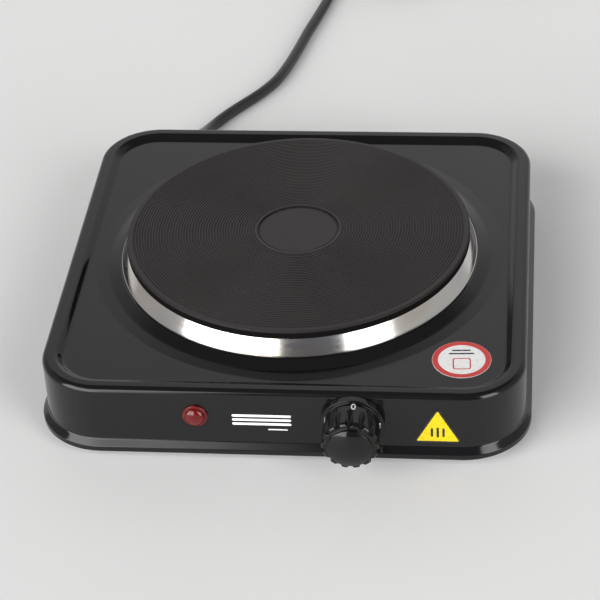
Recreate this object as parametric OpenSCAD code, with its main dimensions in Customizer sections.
// Single electric hot plate: a pressed steel housing with a cast-iron plate in a steel ring,
// a rotary thermostat with its knob, a signal lamp and a mains lead with a moulded plug.
// Millimetres, +Z up, front towards -Y, resting on the surface z = 0.

/* [Housing] */
// Width of the housing over its side walls
body_w = 248; // [230:1:270]
// Depth of the housing over its front and back walls
body_d = 248; // [230:1:270]
// Radius of the housing's corners
corner_r = 32; // [26:1:36]
// Height of the pressed shell, from its lip to the top of its rim
shell_h = 38.2; // [36:0.1:42]
// Sheet thickness of the shell
sheet = 1; // [0.8:0.1:1.2]
// How far the bottom flange stands out from the walls
flange_out = 3; // [2:0.5:5]
// Width of the flat band on top of the rim
rim_band = 8; // [6:0.5:10]
// Depth of the panel below the rim
panel_drop = 3; // [2:0.5:4]

/* [Plate] */
// Diameter of the cast-iron plate
plate_d = 185; // [180:1:187]
// Height of the plate's top above the housing's lip
plate_rise = 51.4; // [50:0.1:54]
// Distance of the plate's centre behind the housing's centre
plate_back = 1.5; // [0:0.5:2]
// How far the boss round the plate stands above the panel
boss_rise = 2.7; // [2:0.1:3]
// Height of the visible steel ring
ring_h = 9; // [8:0.1:10]
// Diameter of the recess in the middle of the plate
recess_d = 44; // [36:1:50]

/* [Controls] */
// Distance of the knob's axis to the right of the middle
knob_x = 38; // [30:1:50]
// Height of the knob's axis above the housing's lip
knob_rise = 21.6; // [20:0.1:23]
// Diameter of the knob's skirt
skirt_d = 32.2; // [30:0.2:36]
// Diameter of the knob's grip
grip_d = 29; // [28:0.2:30]
// How far the knob stands out from the front wall
knob_reach = 24.5; // [23:0.5:26]
// Number of flutes round the grip
flutes = 14; // [10:1:18]
// Distance of the lamp's axis to the left of the middle
lamp_left = 41.6; // [35:0.1:60]
// Height of the lamp's axis above the housing's lip
lamp_rise = 22.8; // [20:0.1:25]

/* [Feet and lead] */
// Height of the feet below the housing's lip
foot_h = 6; // [4:0.5:9]
// Diameter of the mains lead
cord_d = 6.8; // [6:0.2:7.4]
// Mean radius of the stowed coil of the lead
coil_r = 37.5; // [34:0.5:40]

/* [Hidden] */
$fn = 96;

// The housing's centre, which is set back so that the knob and the flange reach equally far
body_y = (knob_reach - flange_out) / 2;
// Heights above the surface
lip_z = foot_h;
rim_z = lip_z + shell_h;
panel_z = rim_z - panel_drop;
boss_z = panel_z + boss_rise;
plate_top = lip_z + plate_rise;
knob_z = lip_z + knob_rise;
lamp_z = lip_z + lamp_rise;

// Rim section: fillet, slope down to the panel, flared flange
rim_fillet = 3.2;
rim_slope = 2.3;
flange_lip = 2.4;
flange_top = 6.2;
panel_edge = rim_band + rim_slope;

// Plate and ring
plate_r = plate_d / 2;
neck_r = plate_r - 1;
foot_in_r = neck_r - 4.5;
ring_base = boss_z;
ring_top = ring_base + ring_h;
ring_sheet = 0.8;
ring_flare = 4;
ring_in_r = neck_r + 0.05;
boss_top_r = plate_r + 5;
boss_foot_r = plate_r + 19.4;
boss_mid_r = boss_top_r + 8;
hole_r = foot_in_r - 1.2;
plate_foot_z = ring_base + ring_sheet;
plate_under_z = plate_top - 7.2;
rib_z = plate_under_z - 4.7;
coil_radii = [40, 50, 69, 79];
coil_z = plate_under_z - 2.4;
heater_r = 1.9;
cover_t = 0.8;
cover_z = rib_z - cover_t;
carrier_h = 8;
can_h = 7;

// Strap that clamps the plate to the housing
strap_w = 20;
strap_t = 2;
strap_z = 32;
stud_r = 3;
stud_z = 22;

// Element terminals and thermal cutout, from the plate's centre
terminal_at = [-26, 42];
terminal_gap = 12;
cutout_at = [45, -35];
cutout_gap = 12;
tab_w = 6.3;
tab_t = 0.8;

// Thermostat, measured backwards from the front wall's outer face
front_y = -body_d / 2;
back_y = body_d / 2;
shaft_r = 3;
running = 0.05;
thermo_screw_gap = 22;
bracket_w = 32;
bracket_h = 24;
pin_r = 1.75;
stack_x = 10;
rivet_r = 1.25;
blade_ys = [26.4, 30.4];
blade_t = 0.4;

// Knob section: skirt, grip, where its flutes start and its lobes end, and the cap
skirt_r = skirt_d / 2;
grip_r = grip_d / 2;
skirt_y = 4.3;
flute_y = 9.2;
lobe_y = 20.4;
lobe_nose = 2;
flute_r = 1.6;
flute_depth = 2.2;
cap_r = 11.1;
nose_r = 0.4;
nose_rise = 2.6;

// Internal wiring: radii, and the ends of the leads
lead_r = 1.3;
thin_r = 0.8;
tab_end = 22;
tab_root_x = knob_x + tab_end;
blade_y0 = front_y + blade_ys[0] + blade_t / 2;
blade_y1 = front_y + blade_ys[1] + blade_t / 2;
cutout_z = cover_z - 16.6;
terminal_z = cover_z - 18.6;
earth_x = -48;
earth_y = 109;
plate_neutral = [terminal_at[0] - terminal_gap / 2, terminal_at[1] + plate_back];
plate_live = [terminal_at[0] + terminal_gap / 2, terminal_at[1] + plate_back];
cutout_in = [cutout_at[0] + cutout_gap / 2 + 1, cutout_at[1] + plate_back];
cutout_out = [cutout_at[0] - cutout_gap / 2 - 1, cutout_at[1] + plate_back];

// Feet
foot_x = 100;
foot_y = 83;
foot_top = lip_z + 0.8;
cover_base = foot_top;
base_t = 1;

// Mains lead: where it leaves the housing, and its route over the surface (x, y, z)
cord_r = cord_d / 2;
cord_x = -80;
cord_z = 19;
cord_route = [
    [-80, 113.5, 19], [-80, 124.5, 19], [-80, 135.5, 19], [-80, 146.5, 19], [-80, 154.5, 19],
    [-80, 161.5, 18.2], [-79.9, 169.5, 15.7], [-79.5, 177.5, 11.8], [-78.6, 185.5, 8], [-77, 193, 5.4],
    [-74.7, 200, 4], [-71.7, 206.8, 3.5], [-67.9, 213.7, 3.5], [-63.2, 221, 3.5],
    [-58, 228.4, 3.5], [-52.7, 235.8, 3.5], [-47.8, 243.3, 3.5], [-43.5, 250.9, 3.5],
    [-40, 258.5, 3.5], [-37.2, 266.5, 3.5], [-33.5, 280.5, 3.5], [-29.3, 300.5, 3.5], [-25.3, 321.5, 3.5],
    [-21, 341, 3.5], [-17, 360.5, 3.5], [-14, 380, 3.5], [-12.5, 400, 3.5], [-12, 414, 3.5]
];
coil_x = 29;
coil_y = 424;
coil_layers = 2;
tail_route = [
    [29, 461.5, 9.7], [36, 461.5, 9.9], [43, 461.5, 11], [50, 461.5, 13.2],
    [57, 461.5, 15.8], [64, 461.5, 17.5], [72, 461.5, 18]
];
plug_x = 72;
plug_y = 461.5;
plug_z = 18;
plug_r = 18;
plug_sleeve = 22;
plug_pin_r = 2.4;
plug_root_r = 2;
plug_pin_gap = 19;
sides = 10;

// Colours
black = [0.03, 0.03, 0.035];
iron = [0.13, 0.11, 0.10];
steel = [0.72, 0.72, 0.74];
zinc = [0.62, 0.64, 0.66];
ceramic = [0.86, 0.83, 0.76];
brass = [0.78, 0.62, 0.30];
rubber = [0.06, 0.06, 0.06];

// ---- shared shapes ----

// Puts the housing's own centre into the part's frame
module in_body() { translate([0, body_y, 0]) children(); }

// Puts the plate's centre into the part's frame
module in_plate() { translate([0, body_y + plate_back, 0]) children(); }

// A rectangle with round corners, centred
module round_rect(w, d, r) {
    square([w - 2 * r, d], center = true);
    square([w, d - 2 * r], center = true);
    for (x = [-1, 1], y = [-1, 1]) translate([x * (w / 2 - r), y * (d / 2 - r)]) circle(r);
}

// Sweeps a section round a rectangle with round corners; x = 0 is the corners' centre line
module sweep_round(w, d, r) {
    for (k = [0:3]) {
        sx = k == 0 || k == 3 ? 1 : -1;
        sy = k < 2 ? 1 : -1;
        translate([sx * (w / 2 - r), sy * (d / 2 - r), 0])
            rotate([0, 0, 90 * k]) rotate_extrude(angle = 90) children();
        along = k % 2 == 0 ? d - 2 * r : w - 2 * r;
        out = k % 2 == 0 ? w / 2 - r : d / 2 - r;
        rotate([0, 0, 90 * k]) translate([out, 0, 0])
            rotate([90, 0, 0]) linear_extrude(along, center = true) children();
    }
}

// A cylinder along Y, from y0 to y1
module y_rod(r, y0, y1) { translate([0, y1, 0]) rotate([90, 0, 0]) cylinder(h = y1 - y0, r = r); }

// A solid of revolution about the Y axis; the section is [radius, distance forward]
module y_turned() { rotate([90, 0, 0]) rotate_extrude() children(); }

// Points on an arc about c
function arc(c, r, a0, a1, n) = [for (i = [0:n]) let (a = a0 + (a1 - a0) * i / n) c + r * [cos(a), sin(a)]];

function unit(v) = v / norm(v);

// Direction of a route at point i
function heading(p, i) = unit(p[min(i + 1, len(p) - 1)] - p[max(i - 1, 0)]);

// A tube swept along a route as one polyhedron
module tube(route, r, n = sides) {
    last = len(route) - 1;
    rings = [for (i = [0:last])
        let (d = heading(route, i),
             helper = abs(d[2]) > 0.9 ? [0, 1, 0] : [0, 0, 1],
             u = unit(cross(d, helper)),
             v = cross(u, d))
        for (k = [0:n - 1]) route[i] + r * (cos(360 * k / n) * u + sin(360 * k / n) * v)];
    skin = [for (i = [0:last - 1], k = [0:n - 1], half = [0, 1])
        let (a = i * n + k, b = i * n + (k + 1) % n) half == 0 ? [a, b, b + n] : [a, b + n, a + n]];
    start_cap = [for (k = [n - 1:-1:0]) k];
    end_cap = [for (k = [0:n - 1]) last * n + k];
    polyhedron(points = rings, faces = concat(skin, [start_cap, end_cap]), convexity = 10);
}

// A pan-head screw, head up, with its head's underside at z = 0
module pan_screw(head_r, head_h, shank_r, length) {
    cylinder(h = head_h, r = head_r);
    translate([0, 0, -length]) cylinder(h = length, r = shank_r);
}

// ---- housing ----

// Section through the rim, the wall and the flange of the shell
module shell_section() {
    wall = corner_r;
    flare = flange_out;
    outer = concat(
        [[wall + flare, lip_z], [wall + flare, lip_z + flange_lip], [wall, lip_z + flange_top]],
        arc([wall - rim_fillet, rim_z - rim_fillet], rim_fillet, 0, 90, 8),
        [[wall - rim_band, rim_z], [wall - panel_edge, panel_z]]
    );
    inner = concat(
        [[wall - panel_edge, panel_z - sheet], [wall - rim_band + sheet / 2, rim_z - sheet]],
        arc([wall - rim_fillet, rim_z - rim_fillet], rim_fillet - sheet, 90, 0, 8),
        [[wall - sheet, lip_z + flange_top - sheet / 2],
         [wall + flare - sheet, lip_z + flange_lip - sheet / 2], [wall + flare - sheet, lip_z]]
    );
    polygon(concat(outer, inner));
}

module housing() {
    panel_w = body_w - 2 * panel_edge;
    panel_d = body_d - 2 * panel_edge;
    color(black) in_body() difference() {
        union() {
            sweep_round(body_w, body_d, corner_r) shell_section();
            translate([0, 0, panel_z - sheet]) linear_extrude(sheet) difference() {
                round_rect(panel_w + 0.1, panel_d + 0.1, corner_r - panel_edge);
                translate([0, plate_back]) circle(boss_foot_r - 0.1);
            }
            translate([0, plate_back, 0]) rotate_extrude() polygon([
                [hole_r, boss_z - sheet], [hole_r, boss_z], [boss_top_r, boss_z],
                [boss_mid_r, panel_z + 1], [boss_foot_r, panel_z], [boss_foot_r, panel_z - sheet],
                [boss_mid_r, panel_z + 1 - sheet], [boss_top_r, boss_z - sheet]
            ]);
        }
        translate([knob_x, 0, knob_z]) y_rod(5, front_y - 1, front_y + 3);
        for (side = [-1, 1]) translate([knob_x + side * thermo_screw_gap / 2, 0, knob_z])
            y_rod(1.7, front_y - 1, front_y + 3);
        translate([-lamp_left, 0, lamp_z]) y_rod(5, front_y - 1, front_y + 3);
        translate([cord_x, 0, cord_z]) y_rod(6, back_y - 3, back_y + 1);
    }
}

// Four angle tabs, spot-welded inside the side walls, that take the base screws
module housing_tabs() {
    tab_size = [36, 18, 16];
    tab_sheet = 1.5;
    wall_in = body_w / 2 - sheet;
    color(zinc) in_body() for (turn = [0, 180], y = [-1, 1]) rotate([0, 0, turn]) difference() {
        translate([0, y * foot_y - tab_size[1] / 2, cover_base + base_t]) {
            translate([wall_in - tab_size[0], 0, 0]) cube([tab_size[0], tab_size[1], tab_sheet]);
            translate([wall_in - tab_sheet, 0, 0]) cube([tab_sheet, tab_size[1], tab_size[2]]);
        }
        translate([foot_x, y * foot_y, 0]) cylinder(h = 30, r = 2);
    }
}

module base_cover() {
    cover_w = body_w + 2 * flange_out - 2 * sheet - 0.8;
    cover_d = body_d + 2 * flange_out - 2 * sheet - 0.8;
    slot_w = 3;
    slot_l = 56;
    color(zinc) in_body() translate([0, 0, cover_base]) linear_extrude(base_t) difference() {
        round_rect(cover_w, cover_d, corner_r + 1.6);
        for (x = [-1, 1], y = [-1, 1]) translate([x * foot_x, y * foot_y]) circle(2.2);
        for (row = [-4:4], x = [-1, 1]) translate([x * 42, row * 11 - slot_w / 2]) {
            translate([-slot_l / 2, 0]) square([slot_l, slot_w]);
            for (e = [-1, 1]) translate([e * slot_l / 2, slot_w / 2]) circle(slot_w / 2, $fn = 32);
        }
    }
}

module foot(x, y) {
    color(rubber) in_body() translate([x * foot_x, y * foot_y, 0]) difference() {
        cylinder(h = foot_top, r1 = 8.6, r2 = 10);
        translate([0, 0, -1]) cylinder(h = foot_top + 2, r = 2.2);
        translate([0, 0, -1]) cylinder(h = 4.6, r = 4.3);
    }
}

module base_screws() {
    color(zinc) in_body() for (x = [-1, 1], y = [-1, 1]) translate([x * foot_x, y * foot_y, 3.6])
        mirror([0, 0, 1]) pan_screw(3.7, 2.2, 2, 9);
}

// ---- plate ----

module hot_plate() {
    chamfer = 1.15;
    color(iron) in_plate() difference() {
        rotate_extrude($fn = 180) polygon([
            [0, plate_top - 0.6], [recess_d / 2, plate_top - 0.6], [recess_d / 2, plate_top],
            [plate_r - chamfer, plate_top], [plate_r, plate_top - chamfer], [plate_r, ring_top + 0.05],
            [neck_r, ring_top + 0.05], [neck_r, plate_foot_z], [foot_in_r, plate_foot_z],
            [foot_in_r, plate_under_z], [62, plate_under_z], [62, rib_z], [58, rib_z], [58, plate_under_z],
            [33, plate_under_z], [33, rib_z], [29, rib_z], [29, plate_under_z],
            [12, plate_under_z], [12, rib_z], [0, rib_z]
        ]);
        translate([0, 0, rib_z - 1]) cylinder(h = 8, r = stud_r);
    }
}

module plate_ring() {
    color(steel) in_plate() rotate_extrude($fn = 180) polygon([
        [ring_in_r, ring_top], [ring_in_r + ring_sheet, ring_top],
        [ring_in_r + ring_sheet + ring_flare, ring_base], [foot_in_r, ring_base],
        [foot_in_r, plate_foot_z], [ring_in_r + ring_flare - 0.1, plate_foot_z]
    ]);
}

// Resistance coils laid in rings; each is the outer shape of the wound wire
module heating_coils() {
    color("dimgray") in_plate() for (r = coil_radii)
        translate([0, 0, coil_z]) rotate_extrude() translate([r, 0]) circle(heater_r, $fn = 24);
}

// Pressed magnesia in the two channels under the plate, round the coils
module insulation() {
    color(ceramic) in_plate() difference() {
        for (band = [[33.1, 57.9], [62.1, foot_in_r - 0.1]])
            translate([0, 0, rib_z + 0.1]) rotate_extrude() translate([band[0], 0])
                square([band[1] - band[0], plate_under_z - rib_z - 0.2]);
        for (r = coil_radii) translate([0, 0, coil_z])
            rotate_extrude() translate([r, 0]) circle(heater_r + 0.02, $fn = 24);
        for (side = [-1, 1]) translate([terminal_at[0] + side * terminal_gap / 2, terminal_at[1], rib_z - 1])
            cylinder(h = 8, r = 1.7);
    }
}

module plate_cover() {
    color(zinc) in_plate() difference() {
        translate([0, 0, cover_z]) cylinder(h = cover_t, r = foot_in_r - 0.2);
        translate([0, 0, cover_z - 1]) cylinder(h = cover_t + 2, r = 8);
        for (side = [-1, 1])
            translate([terminal_at[0] + side * terminal_gap / 2, terminal_at[1], cover_z - 1])
                cylinder(h = cover_t + 2, r = 2.6);
    }
}

module plate_stud() {
    color(zinc) in_plate() translate([0, 0, stud_z]) cylinder(h = rib_z + 6 - stud_z, r = stud_r);
}

// Strap across the hole in the housing; the stud pulls the plate and ring down against it
module clamp_strap() {
    end_r = boss_top_r - 1;
    end_z = boss_z - sheet;
    bend = 5;
    color(zinc) in_plate() difference() {
        rotate([90, 0, 0]) linear_extrude(strap_w, center = true) polygon([
            [-end_r, end_z], [-end_r, end_z - strap_t], [-end_r + 6, end_z - strap_t],
            [-end_r + 6 + bend, strap_z], [end_r - 6 - bend, strap_z], [end_r - 6, end_z - strap_t],
            [end_r, end_z - strap_t], [end_r, end_z], [end_r - 7.3, end_z],
            [end_r - 7.3 - bend, strap_z + strap_t], [-end_r + 7.3 + bend, strap_z + strap_t],
            [-end_r + 7.3, end_z]
        ]);
        translate([0, 0, strap_z - 1]) cylinder(h = strap_t + 2, r = stud_r + 0.3);
    }
}

module stud_washer() {
    color(zinc) in_plate() translate([0, 0, strap_z - 1.4]) difference() {
        cylinder(h = 1.4, r = 8);
        translate([0, 0, -1]) cylinder(h = 4, r = stud_r + 0.2);
    }
}

module stud_nut() {
    nut_h = 5;
    color(zinc) in_plate() translate([0, 0, strap_z - 1.4 - nut_h]) difference() {
        cylinder(h = nut_h, r = 5.8, $fn = 6);
        translate([0, 0, -1]) cylinder(h = nut_h + 2, r = stud_r);
    }
}

module terminal_carrier() {
    color(ceramic) in_plate() translate([terminal_at[0], terminal_at[1], cover_z - carrier_h]) difference() {
        linear_extrude(carrier_h) round_rect(25, 13, 3);
        for (side = [-1, 1]) translate([side * terminal_gap / 2, 0, -1]) cylinder(h = carrier_h + 2, r = 1.6);
    }
}

// A pin through the carrier that ends in a flat tab
module plate_terminals() {
    tab_l = 7;
    tab_top = cover_z - carrier_h;
    color(brass) in_plate() for (side = [-1, 1])
        translate([terminal_at[0] + side * terminal_gap / 2, terminal_at[1], 0]) {
            translate([0, 0, tab_top - 1]) cylinder(h = rib_z + 1.5 - tab_top, r = 1.6);
            translate([-tab_w / 2, -tab_t / 2, tab_top - tab_l]) cube([tab_w, tab_t, tab_l]);
        }
}

module thermal_cutout() {
    tab_l = 6;
    color("dimgray") in_plate() translate([cutout_at[0], cutout_at[1], cover_z - can_h]) {
        cylinder(h = can_h, r = 8.5);
        for (side = [-1, 1]) translate([side * cutout_gap / 2 - tab_w / 2 + side, -tab_t / 2, -tab_l])
            cube([tab_w, tab_t, tab_l + 1]);
    }
}

// Spring strap that holds the cutout against the plate's cover
module cutout_clip() {
    clip_w = 6.4;
    clip_t = 0.8;
    reach = 12;
    color(zinc) in_plate() translate([cutout_at[0] - clip_w / 2, cutout_at[1], cover_z]) {
        translate([0, -reach, -can_h - clip_t]) cube([clip_w, 2 * reach, clip_t]);
        for (side = [-1, 1]) {
            translate([0, side * (reach - clip_t / 2) - clip_t / 2, -can_h - clip_t / 2])
                cube([clip_w, clip_t, can_h + clip_t / 2]);
            translate([0, side * (reach + 2.4) - 3.2, -clip_t]) cube([clip_w, 6.4, clip_t]);
        }
    }
}

// ---- thermostat ----

module at_knob() { in_body() translate([knob_x, front_y, knob_z]) children(); }

module thermostat_bracket() {
    leg = 21.5;
    leg_h = 14;
    plate_t = 1.5;
    color(zinc) at_knob() difference() {
        union() {
            translate([-bracket_w / 2, sheet, -bracket_h / 2]) cube([bracket_w, plate_t, bracket_h]);
            for (side = [0, 1]) translate([-bracket_w / 2 + side * (bracket_w - 1.2), sheet, -leg_h / 2])
                cube([1.2, leg, leg_h]);
        }
        y_rod(4.5, 0, 6);
        for (side = [-1, 1]) translate([side * thermo_screw_gap / 2, 0, 0]) y_rod(1.6, 0, 6);
    }
}

module thermostat_bush() {
    color(brass) at_knob() difference() {
        union() {
            y_rod(4.5, -2.2, 10);
            y_rod(6, 2.5, 3.7);
        }
        y_rod(shaft_r + running, -4, 12);
    }
}

module thermostat_screws() {
    color(zinc) at_knob() for (side = [-1, 1]) translate([side * thermo_screw_gap / 2, 0, 0])
        rotate([90, 0, 0]) pan_screw(2.9, 1.7, 1.6, 4.5);
}

// Ceramic block between the bracket's legs, which guides the pin
module thermostat_base() {
    base_w = bracket_w - 2.6;
    color(ceramic) at_knob() difference() {
        translate([-base_w / 2, 16.5, -6.5]) cube([base_w, 6, 13]);
        y_rod(pin_r + 0.06, 15, 25);
        translate([stack_x, 0, 0]) y_rod(rivet_r, 15, 25);
    }
}

// Two spring blades, each with a contact and a flat terminal tab
module contact_blades() {
    contact_x = -7;
    color(brass) at_knob() for (i = [0, 1]) {
        inward = i == 0 ? blade_t : -1.3;
        difference() {
            translate([-9, blade_ys[i], -tab_w / 2]) cube([31, blade_t, tab_w]);
            translate([stack_x, 0, 0]) y_rod(rivet_r, 20, 40);
        }
        translate([contact_x, 0, 0]) y_rod(2, blade_ys[i] + inward, blade_ys[i] + inward + 1.3);
    }
}

module ceramic_spacers() {
    gaps = [[22.5, blade_ys[0]], [blade_ys[0] + blade_t, blade_ys[1]], [blade_ys[1] + blade_t, 34.2]];
    color(ceramic) at_knob() for (gap = gaps) difference() {
        translate([stack_x - 4, gap[0], -4.5]) cube([8, gap[1] - gap[0], 9]);
        translate([stack_x, 0, 0]) y_rod(rivet_r, 20, 40);
    }
}

module stack_rivet() {
    color(zinc) at_knob() translate([stack_x, 0, 0]) {
        y_rod(rivet_r, 16, 35.6);
        y_rod(2.2, 15, 16.5);
        y_rod(2.2, 35, 36);
    }
}

// Bimetal strip with the ceramic button that pushes the rear blade
module bimetal_strip() {
    color("slategray") at_knob() {
        difference() {
            translate([-12, 34.2, -4]) cube([26, 0.8, 8]);
            translate([stack_x, 0, 0]) y_rod(rivet_r, 30, 40);
        }
        translate([-3, 0, 0]) y_rod(1.3, 31.2, 34.3);
    }
}

// D-shaped control shaft with the collar that keeps it in its bush
module thermostat_shaft() {
    flat = 2.4;
    color(steel) at_knob() difference() {
        union() {
            y_rod(shaft_r, -18, 14.5);
            y_rod(4, 10.3, 11.8);
        }
        translate([-5, -19, flat]) cube([10, 14.5, 5]);
    }
}

module ceramic_pin() { color(ceramic) at_knob() y_rod(pin_r, 14.8, 25.4); }

// Section of the knob, [radius, distance forward of the wall]
module knob_section() {
    nose_y = knob_reach - nose_rise - nose_r;
    dome_r = (pow(cap_r - nose_r, 2) + pow(nose_rise, 2)) / (2 * nose_rise);
    dome_a = asin((cap_r - nose_r) / dome_r);
    polygon(concat(
        [[0, 3.1], [skirt_r - 1.3, 3.1], [skirt_r - 1.3, 0.5], [skirt_r, 0.5], [skirt_r, skirt_y - 0.3],
         [skirt_r - 0.3, skirt_y], [grip_r, skirt_y]],
        arc([grip_r - lobe_nose, lobe_y - lobe_nose], lobe_nose, 0, 90, 6),
        [[cap_r, lobe_y]],
        arc([cap_r - nose_r, nose_y], nose_r, 0, 90, 6),
        arc([0, knob_reach - dome_r], dome_r, 90 - dome_a, 90, 8)
    ));
}

module knob() {
    cavity_y = 16;
    flute_slope = atan(flute_depth / (lobe_y - flute_y));
    color(black) at_knob() difference() {
        y_turned() knob_section();
        difference() {
            y_rod(10.6, -cavity_y, -2);
            y_rod(6, -cavity_y - 1, 0);
        }
        difference() {
            y_rod(shaft_r, -18, 0);
            translate([-5, -19, 2.4]) cube([10, 14.5, 5]);
        }
        for (k = [0:flutes - 1]) rotate([0, 360 * (k + 0.5) / flutes, 0])
            translate([grip_r - flute_depth + flute_r, -lobe_y, 0]) rotate([0, 0, -flute_slope])
                y_rod(flute_r, -6, lobe_y - 6);
    }
}

// Split ring of spring steel that tightens the knob's hub on the shaft
module knob_clip() {
    color(steel) at_knob() translate([0, -8, 0]) rotate([90, 0, 0])
        rotate_extrude(angle = 330) translate([6.02, 0]) square([0.7, 5]);
}

// ---- signal lamp ----

module at_lamp() { in_body() translate([-lamp_left, front_y, lamp_z]) children(); }

module lamp_lens() {
    flange_r = 6.4;
    dome_r = 5.3;
    stem_r = 4.9;
    color("red") at_lamp() difference() {
        union() {
            y_turned() polygon(concat(
                [[0, 0], [flange_r, 0], [flange_r, 0.8], [flange_r - 0.4, 1.2], [dome_r, 1.2]],
                [for (a = [10:10:90]) [dome_r * cos(a), 1.2 + 3 * sin(a)]]
            ));
            y_rod(stem_r, -0.1, 16);
        }
        y_rod(3.9, -2, 17);
    }
}

module lamp_ring() {
    color(zinc) at_lamp() difference() {
        y_rod(8, sheet, sheet + 0.8);
        y_rod(4.95, 0, 3);
    }
}

module neon_bulb() {
    color("orange") at_lamp() {
        y_rod(2.9, 1, 11);
        translate([0, 1, 0]) sphere(2.9, $fn = 32);
    }
}

module lamp_resistor() {
    color("tan") at_lamp() translate([-1.9, 0, 0]) y_rod(1.2, 11.1, 15.6);
}

// ---- wiring ----

module earth_stud() {
    color(zinc) in_body() translate([earth_x, earth_y, panel_z - sheet - 12]) cylinder(h = 12, r = 2);
}

module earth_nut() {
    color(zinc) in_body() translate([earth_x, earth_y, panel_z - sheet - 11]) difference() {
        cylinder(h = 3.2, r = 4, $fn = 6);
        translate([0, 0, -1]) cylinder(h = 6, r = 2);
    }
}

// Live core, from the lead's sheath round the left side to the thermostat's front blade
module live_lead() {
    color("saddlebrown") in_body() tube([
        [-80, 102.4, 20.8], [-81, 95, 21], [-86, 86, 21], [-94, 74, 20], [-103, 60, 17], [-107, 40, 15],
        [-108, 10, 15], [-108, -40, 15], [-107, -70, 16], [-102, -92, 17], [-90, -106, 17], [-70, -111, 16],
        [-50, -111, 13.5], [-20, -111, 13], [20, -109, 13], [50, -107, 13], [66, -105, 15], [74, -101, 19],
        [76, blade_y0, 24], [73, blade_y0, knob_z - 0.6], [tab_root_x + 6.1, blade_y0, knob_z]
    ], lead_r, 8);
}

// Neutral core, from the sheath to the element's rear terminal
module neutral_lead() {
    x = plate_neutral[0] + 1;
    color("royalblue") in_body() tube([
        [-77.6, 102.4, 18.1], [-75, 95, 17.6], [-67, 84, 16], [-56, 72, 15], [-45, 61, 15],
        [x - 2.4, plate_neutral[1] + 3, 16.5], [x, plate_neutral[1], 20], [x, plate_neutral[1], terminal_z]
    ], lead_r, 8);
}

// Earth core with the ring tag on the housing's stud
module earth_lead() {
    tag_z = panel_z - sheet - 7.7;
    color("yellowgreen") in_body() {
        tube([
            [-82.3, 102.4, 18.1], [-79.5, 93, 16.8], [-72, 86, 17.5], [-62, 84, 21], [-53, 88, 27],
            [-49, 94, tag_z - 0.3], [earth_x, 99, tag_z + 0.5], [earth_x, 102, tag_z + 0.5]
        ], lead_r, 8);
        translate([earth_x, earth_y, tag_z]) difference() {
            union() {
                cylinder(h = 1, r = 4.2);
                translate([-1.6, -7.2, 0]) cube([3.2, 5, 1]);
            }
            translate([0, 0, -1]) cylinder(h = 3, r = 2.1);
        }
    }
}

// Lead from the thermostat's rear blade to the thermal cutout
module switched_lead() {
    color("whitesmoke") in_body() tube([
        [tab_root_x + 6.1, blade_y1, knob_z], [72, blade_y1 + 1.5, knob_z - 0.6], [76, -84, 25.5],
        [73, -66, 22], [63, -48, 19], [55, cutout_in[1] - 4, 19], [cutout_in[0], cutout_in[1], 22.5],
        [cutout_in[0], cutout_in[1], cutout_z]
    ], lead_r, 8);
}

// Lead from the thermal cutout to the element's front terminal, under the stud
module element_lead() {
    x0 = cutout_out[0] + 1;
    color("whitesmoke") in_body() tube([
        [x0, cutout_out[1], cutout_z], [x0, cutout_out[1], 21], [x0 - 3, cutout_out[1] + 5, 17],
        [22, -6, 15], [2, 20, 14.5], [-15, 42, 15], [plate_live[0] + 1.5, plate_live[1] - 2, 17],
        [plate_live[0], plate_live[1], 20.5], [plate_live[0], plate_live[1], terminal_z]
    ], lead_r, 8);
}

// The lamp's two thin leads: one to the cutout, one to the neutral terminal
module lamp_leads() {
    x1 = cutout_out[0] - 2.2;
    x2 = plate_neutral[0] - 2.2;
    color("whitesmoke") in_body() {
        tube([
            [-lamp_left + 1.9, -112.8, lamp_z], [-39.7, -102, lamp_z - 0.6], [-34, -90, 25], [-12, -72, 20],
            [14, -54, 18], [x1 - 4, cutout_out[1] - 5, 20], [x1, cutout_out[1], 23.5],
            [x1, cutout_out[1], cutout_z]
        ], thin_r, 6);
        tube([
            [-lamp_left - 1.9, -108.3, lamp_z], [-43.8, -100, lamp_z - 0.6], [-46, -90, 26], [-54, -68, 20],
            [-59, -30, 17], [-57, 10, 16], [-48, 38, 16], [x2 - 1.5, plate_neutral[1] - 3, 17.5],
            [x2, plate_neutral[1], 20.5], [x2, plate_neutral[1], terminal_z]
        ], thin_r, 6);
    }
}

// A push-on receptacle with its tab's slot, mouth up, its lower end at z = 0
module receptacle(slot_t) {
    difference() {
        translate([-4, -1.6, 0]) cube([8, 3.2, 9]);
        translate([-tab_w / 2, -slot_t / 2, 3]) cube([tab_w, slot_t, 7]);
    }
}

module crimp_connectors() {
    color("lightgray") in_body() {
        for (at = [plate_neutral, plate_live]) translate([at[0], at[1], terminal_z]) receptacle(tab_t);
        for (at = [cutout_in, cutout_out]) translate([at[0], at[1], cutout_z]) receptacle(tab_t);
        for (y = [blade_y0, blade_y1]) translate([tab_root_x + 6, y, knob_z])
            rotate([0, -90, 0]) receptacle(blade_t);
    }
}

// ---- mains lead ----

module at_cord() { in_body() translate([cord_x, 0, cord_z]) children(); }

// Angle bracket, spot-welded inside the back wall, that carries the cord clamp
module cord_bracket() {
    color(zinc) at_cord() difference() {
        union() {
            translate([-16, back_y - sheet - 22, -cord_r - 1.6]) cube([32, 21, 1.5]);
            translate([-11.5, back_y - sheet - 22, -cord_r - 1.6]) cube([23, 22, 1.5]);
            translate([-11.5, back_y - sheet - 1.5, -cord_r - 7.2]) cube([23, 1.5, 6.6]);
        }
        for (side = [-1, 1]) translate([side * 11, back_y - 16, -20]) cylinder(h = 20, r = 1.5);
        y_rod(8, back_y - 4.5, back_y);
    }
}

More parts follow.
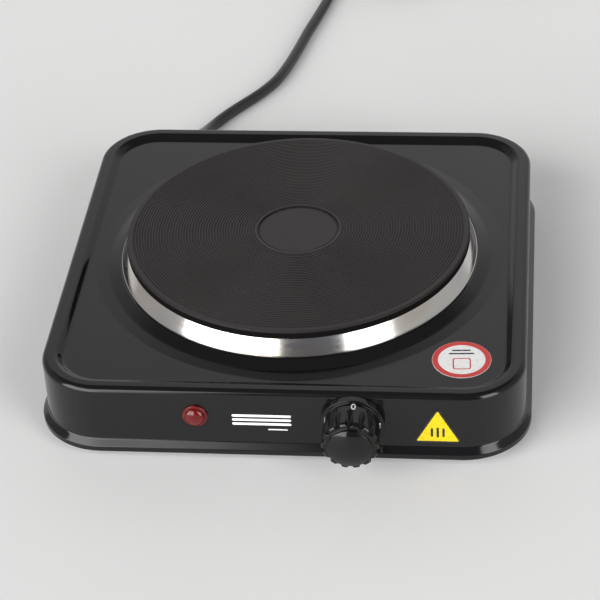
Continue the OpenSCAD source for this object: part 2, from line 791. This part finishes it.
// Saddle over the lead, inside the housing
module cord_clamp() {
    ear_z = -cord_r - 0.1;
    color(zinc) at_cord() difference() {
        translate([0, back_y - 12, 0]) rotate([90, 0, 0]) linear_extrude(8) difference() {
            union() {
                circle(cord_r + 1.3);
                translate([-cord_r - 1.3, ear_z]) square([2 * cord_r + 2.6, -ear_z]);
                translate([-15, ear_z]) square([30, 1.3]);
            }
            circle(cord_r + 0.05);
            translate([-cord_r - 0.05, ear_z - 3]) square([2 * cord_r + 0.1, 3 - ear_z]);
        }
        for (side = [-1, 1]) translate([side * 11, back_y - 16, -20]) cylinder(h = 20, r = 1.5);
    }
}

module clamp_screws() {
    color(zinc) at_cord() for (side = [-1, 1])
        translate([side * 11, back_y - 16, -cord_r + 1.2]) pan_screw(2.8, 1.6, 1.5, 6.4);
}

// Moulded strain relief: flange inside, groove in the wall, ribbed taper outside
module strain_relief() {
    color(rubber) at_cord() difference() {
        translate([0, back_y, 0]) rotate([-90, 0, 0]) rotate_extrude() polygon(concat(
            [[0, -3.5], [7.6, -3.5], [7.6, -1], [5.95, -1], [5.95, 0], [6.8, 0], [6.8, 2.4]],
            [for (k = [0:2]) for (edge = [0, 1]) [6.4 - 0.5 * k, 3 + 5.6 * k + 4 * edge]],
            [[4.6, 20], [0, 20]]
        ));
        y_rod(cord_r + 0.05, back_y - 10, back_y + 30);
    }
}

module power_cord() { color(rubber) tube(cord_route, cord_r); }

module cord_tail() { color(rubber) tube(tail_route, cord_r); }

// Outer shape of the stowed coil
module cord_coil() {
    coil_h = cord_d * (1 + 0.87 * (coil_layers - 1)) + 0.1;
    color(rubber) translate([coil_x, coil_y, coil_h / 2]) rotate_extrude()
        translate([coil_r, 0]) round_rect(2 * cord_d + 0.2, coil_h, cord_r);
}

module at_plug() { translate([plug_x, plug_y, plug_z]) rotate([0, 90, 0]) children(); }

// Moulded plug: ribbed sleeve, tapered grip, round front with two flats for the earth clips
module plug() {
    grip = 24;
    front = 14;
    mouth = plug_sleeve + grip;
    color(rubber) at_plug() difference() {
        rotate_extrude() polygon(concat(
            [[0, 0]],
            [for (k = [0:4]) for (edge = [0, 1]) [4.7 + 0.35 * k, 4.4 * k + 3 * edge]],
            [[7.5, plug_sleeve], [9, plug_sleeve + 1], [13, mouth - 10], [plug_r - 2.5, mouth - 2],
             [plug_r, mouth], [plug_r, mouth + front - 0.8], [plug_r - 0.8, mouth + front],
             [0, mouth + front]]
        ));
        for (side = [-1, 1]) {
            translate([side * plug_r - 2, -4.5, mouth - 3]) cube([4, 9, front + 4]);
            translate([0, side * plug_pin_gap / 2, mouth + front - 8]) cylinder(h = 9, r = plug_root_r);
        }
        translate([-10, 0, mouth + front - 8]) cylinder(h = 9, r = 2.6);
    }
}

module plug_pins() {
    mouth = plug_sleeve + 38;
    color(steel) at_plug() for (side = [-1, 1]) translate([0, side * plug_pin_gap / 2, mouth - 8]) {
        cylinder(h = 8, r = plug_root_r);
        translate([0, 0, 8]) cylinder(h = 17, r = plug_pin_r);
        translate([0, 0, 25]) cylinder(h = 2, r1 = plug_pin_r, r2 = plug_pin_r - 1);
    }
}

module plug_earth_clips() {
    start = plug_sleeve + 24;
    color(steel) at_plug() for (side = [-1, 1])
        translate([side * (plug_r - 1.6) - 0.4, -3, start - 2]) cube([0.8, 6, 15]);
}

// ---- stickers ----

module round_sticker() {
    color("white") in_body() translate([91.2, -90, panel_z]) cylinder(h = 0.3, r = 15);
}

module triangle_sticker() {
    mid = [80.4, 18.2];
    half = 13;
    low = 9.3;
    high = 13;
    cut = 1.2;
    color("gold") in_body() translate([mid[0], front_y, lip_z + mid[1]]) rotate([90, 0, 0])
        linear_extrude(0.3) polygon([
            [-half + cut, -low], [half - cut, -low], [half - cut / 2, -low + cut],
            [cut / 2, high], [-cut / 2, high], [-half + cut / 2, -low + cut]
        ]);
}

housing();
housing_tabs();
base_cover();
base_screws();
foot(-1, -1);  // foot_front_left
foot(1, -1);  // foot_front_right
foot(-1, 1);  // foot_rear_left
foot(1, 1);  // foot_rear_right
hot_plate();
plate_ring();
heating_coils();
insulation();
plate_cover();
plate_stud();
clamp_strap();
stud_washer();
stud_nut();
terminal_carrier();
plate_terminals();
thermal_cutout();
cutout_clip();
thermostat_bracket();
thermostat_bush();
thermostat_screws();
thermostat_base();
contact_blades();
ceramic_spacers();
stack_rivet();
bimetal_strip();
thermostat_shaft();
ceramic_pin();
knob();
knob_clip();
lamp_lens();
lamp_ring();
neon_bulb();
lamp_resistor();
earth_stud();
earth_nut();
live_lead();
neutral_lead();
earth_lead();
switched_lead();
element_lead();
lamp_leads();
crimp_connectors();
cord_bracket();
cord_clamp();
clamp_screws();
strain_relief();
power_cord();
cord_coil();
cord_tail();
plug();
plug_pins();
plug_earth_clips();
round_sticker();
triangle_sticker();
